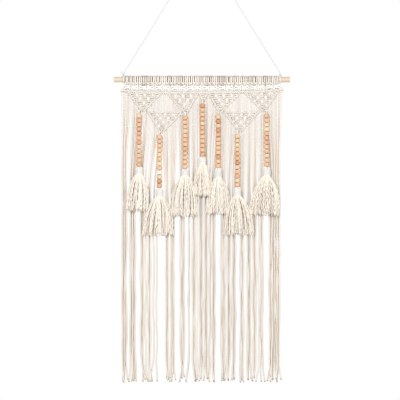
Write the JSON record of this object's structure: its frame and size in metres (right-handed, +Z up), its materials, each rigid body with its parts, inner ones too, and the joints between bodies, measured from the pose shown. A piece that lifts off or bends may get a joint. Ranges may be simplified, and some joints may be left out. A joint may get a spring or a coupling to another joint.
{
  "type": "macrame wall hanging",
  "caption": "Cream knotted-cotton wall hanging on a pale wooden dowel, with V-shaped nets, wooden bead strings ending in tassels, a long fringe and a string hanger",
  "frame": {"origin": "the hanging point: the inner side of the string's bend, where a nail or hook carries it", "axes": "+Z up; +X to the viewer's right along the dowel; the front faces -Y and the wall is on the +Y side"},
  "size_m": [0.45, 0.0276, 1.1126],
  "materials": {
    "cotton": "matte",
    "hanger_cotton": "matte",
    "dowel_wood": "satin",
    "bead_wood": "satin"
  },
  "bodies": {
    "hanger": {"hanger_string": "hanger_cotton", "hanger_loop_left": "hanger_cotton", "hanger_loop_right": "hanger_cotton"},
    "textile": {"dowel": "dowel_wood", "larks_heads": "cotton", "header_knots": "cotton", "hitched_bar": "cotton", "net_upper_1": "cotton", "net_upper_2": "cotton", "net_centre": "cotton", "net_upper_3": "cotton", "net_upper_4": "cotton", "net_lower_left": "cotton", "net_lower_right": "cotton", "gap_strands_left": "cotton", "gap_strands_right": "cotton", "fringe_upper_1": "cotton", "fringe_upper_2": "cotton", "fringe_upper_3": "cotton", "fringe_upper_4": "cotton", "fringe_upper_5": "cotton", "fringe_upper_6": "cotton", "fringe_upper_7": "cotton", "fringe_upper_8": "cotton"},
    "string_1": {"tassel_cord_1": "cotton", "tassel_head_1": "cotton", "tassel_skirt_1": "cotton"},
    "bead_stack_1": {"beads_1": "bead_wood"},
    "string_2": {"tassel_cord_2": "cotton", "tassel_head_2": "cotton", "tassel_skirt_2": "cotton"},
    "bead_stack_2": {"beads_2": "bead_wood"},
    "string_3": {"tassel_cord_3": "cotton", "tassel_head_3": "cotton", "tassel_skirt_3": "cotton"},
    "bead_stack_3": {"beads_3": "bead_wood"},
    "string_4": {"tassel_cord_4": "cotton", "tassel_head_4": "cotton", "tassel_skirt_4": "cotton"},
    "bead_stack_4": {"beads_4": "bead_wood"},
    "string_5": {"tassel_cord_5": "cotton", "tassel_head_5": "cotton", "tassel_skirt_5": "cotton"},
    "bead_stack_5": {"beads_5": "bead_wood"},
    "string_6": {"tassel_cord_6": "cotton", "tassel_head_6": "cotton", "tassel_skirt_6": "cotton"},
    "bead_stack_6": {"beads_6": "bead_wood"},
    "string_7": {"tassel_cord_7": "cotton", "tassel_head_7": "cotton", "tassel_skirt_7": "cotton"},
    "bead_stack_7": {"beads_7": "bead_wood"},
    "fringe_1": {"fringe_lower_1": "cotton"},
    "fringe_2": {"fringe_lower_2": "cotton"},
    "fringe_3": {"fringe_lower_3": "cotton"},
    "fringe_4": {"fringe_lower_4": "cotton"},
    "fringe_5": {"fringe_lower_5": "cotton"},
    "fringe_6": {"fringe_lower_6": "cotton"},
    "fringe_7": {"fringe_lower_7": "cotton"},
    "fringe_8": {"fringe_lower_8": "cotton"}
  },
  "joints": [
    {"name": "textile_swing", "type": "hinge", "parent": "hanger", "child": "textile", "pos_m": [0, 0, -0.334], "axis": [-1, 0, 0], "range_deg": [0, 60]},
    {"name": "string_1_swing", "type": "hinge", "parent": "textile", "child": "string_1", "pos_m": [-0.1605, -0.007, -0.4138], "axis": [-1, 0, 0], "range_deg": [0, 45]},
    {"name": "beads_1_turn", "type": "hinge", "parent": "string_1", "child": "bead_stack_1", "pos_m": [-0.1605, -0.007, -0.4893], "axis": [0, 0, 1], "continuous": true},
    {"name": "string_2_swing", "type": "hinge", "parent": "textile", "child": "string_2", "pos_m": [-0.1085, -0.007, -0.4678], "axis": [-1, 0, 0], "range_deg": [0, 45]},
    {"name": "beads_2_turn", "type": "hinge", "parent": "string_2", "child": "bead_stack_2", "pos_m": [-0.1085, -0.007, -0.5433], "axis": [0, 0, 1], "continuous": true},
    {"name": "string_3_swing", "type": "hinge", "parent": "textile", "child": "string_3", "pos_m": [-0.043, -0.007, -0.4188], "axis": [-1, 0, 0], "range_deg": [0, 45]},
    {"name": "beads_3_turn", "type": "hinge", "parent": "string_3", "child": "bead_stack_3", "pos_m": [-0.043, -0.007, -0.4943], "axis": [0, 0, 1], "continuous": true},
    {"name": "string_4_swing", "type": "hinge", "parent": "textile", "child": "string_4", "pos_m": [0.0015, -0.007, -0.3878], "axis": [-1, 0, 0], "range_deg": [0, 45]},
    {"name": "beads_4_turn", "type": "hinge", "parent": "string_4", "child": "bead_stack_4", "pos_m": [0.0015, -0.007, -0.4633], "axis": [0, 0, 1], "continuous": true},
    {"name": "string_5_swing", "type": "hinge", "parent": "textile", "child": "string_5", "pos_m": [0.0415, -0.007, -0.4168], "axis": [-1, 0, 0], "range_deg": [0, 45]},
    {"name": "beads_5_turn", "type": "hinge", "parent": "string_5", "child": "bead_stack_5", "pos_m": [0.0415, -0.007, -0.4923], "axis": [0, 0, 1], "continuous": true},
    {"name": "string_6_swing", "type": "hinge", "parent": "textile", "child": "string_6", "pos_m": [0.0905, -0.007, -0.4658], "axis": [-1, 0, 0], "range_deg": [0, 45]},
    {"name": "beads_6_turn", "type": "hinge", "parent": "string_6", "child": "bead_stack_6", "pos_m": [0.0905, -0.007, -0.5413], "axis": [0, 0, 1], "continuous": true},
    {"name": "string_7_swing", "type": "hinge", "parent": "textile", "child": "string_7", "pos_m": [0.165, -0.007, -0.4138], "axis": [-1, 0, 0], "range_deg": [0, 45]},
    {"name": "beads_7_turn", "type": "hinge", "parent": "string_7", "child": "bead_stack_7", "pos_m": [0.165, -0.007, -0.4893], "axis": [0, 0, 1], "continuous": true},
    {"name": "fringe_1_swing", "type": "hinge", "parent": "textile", "child": "fringe_1", "pos_m": [-0.17875, 0.005, -0.747], "axis": [-1, 0, 0], "range_deg": [0, 35]},
    {"name": "fringe_2_swing", "type": "hinge", "parent": "textile", "child": "fringe_2", "pos_m": [-0.1275, 0.005, -0.747], "axis": [-1, 0, 0], "range_deg": [0, 35]},
    {"name": "fringe_3_swing", "type": "hinge", "parent": "textile", "child": "fringe_3", "pos_m": [-0.0725, 0.005, -0.747], "axis": [-1, 0, 0], "range_deg": [0, 35]},
    {"name": "fringe_4_swing", "type": "hinge", "parent": "textile", "child": "fringe_4", "pos_m": [-0.019, 0.005, -0.747], "axis": [-1, 0, 0], "range_deg": [0, 35]},
    {"name": "fringe_5_swing", "type": "hinge", "parent": "textile", "child": "fringe_5", "pos_m": [0.0245, 0.005, -0.747], "axis": [-1, 0, 0], "range_deg": [0, 35]},
    {"name": "fringe_6_swing", "type": "hinge", "parent": "textile", "child": "fringe_6", "pos_m": [0.0715, 0.005, -0.747], "axis": [-1, 0, 0], "range_deg": [0, 35]},
    {"name": "fringe_7_swing", "type": "hinge", "parent": "textile", "child": "fringe_7", "pos_m": [0.1275, 0.005, -0.747], "axis": [-1, 0, 0], "range_deg": [0, 35]},
    {"name": "fringe_8_swing", "type": "hinge", "parent": "textile", "child": "fringe_8", "pos_m": [0.18225, 0.005, -0.747], "axis": [-1, 0, 0], "range_deg": [0, 35]}
  ]
}
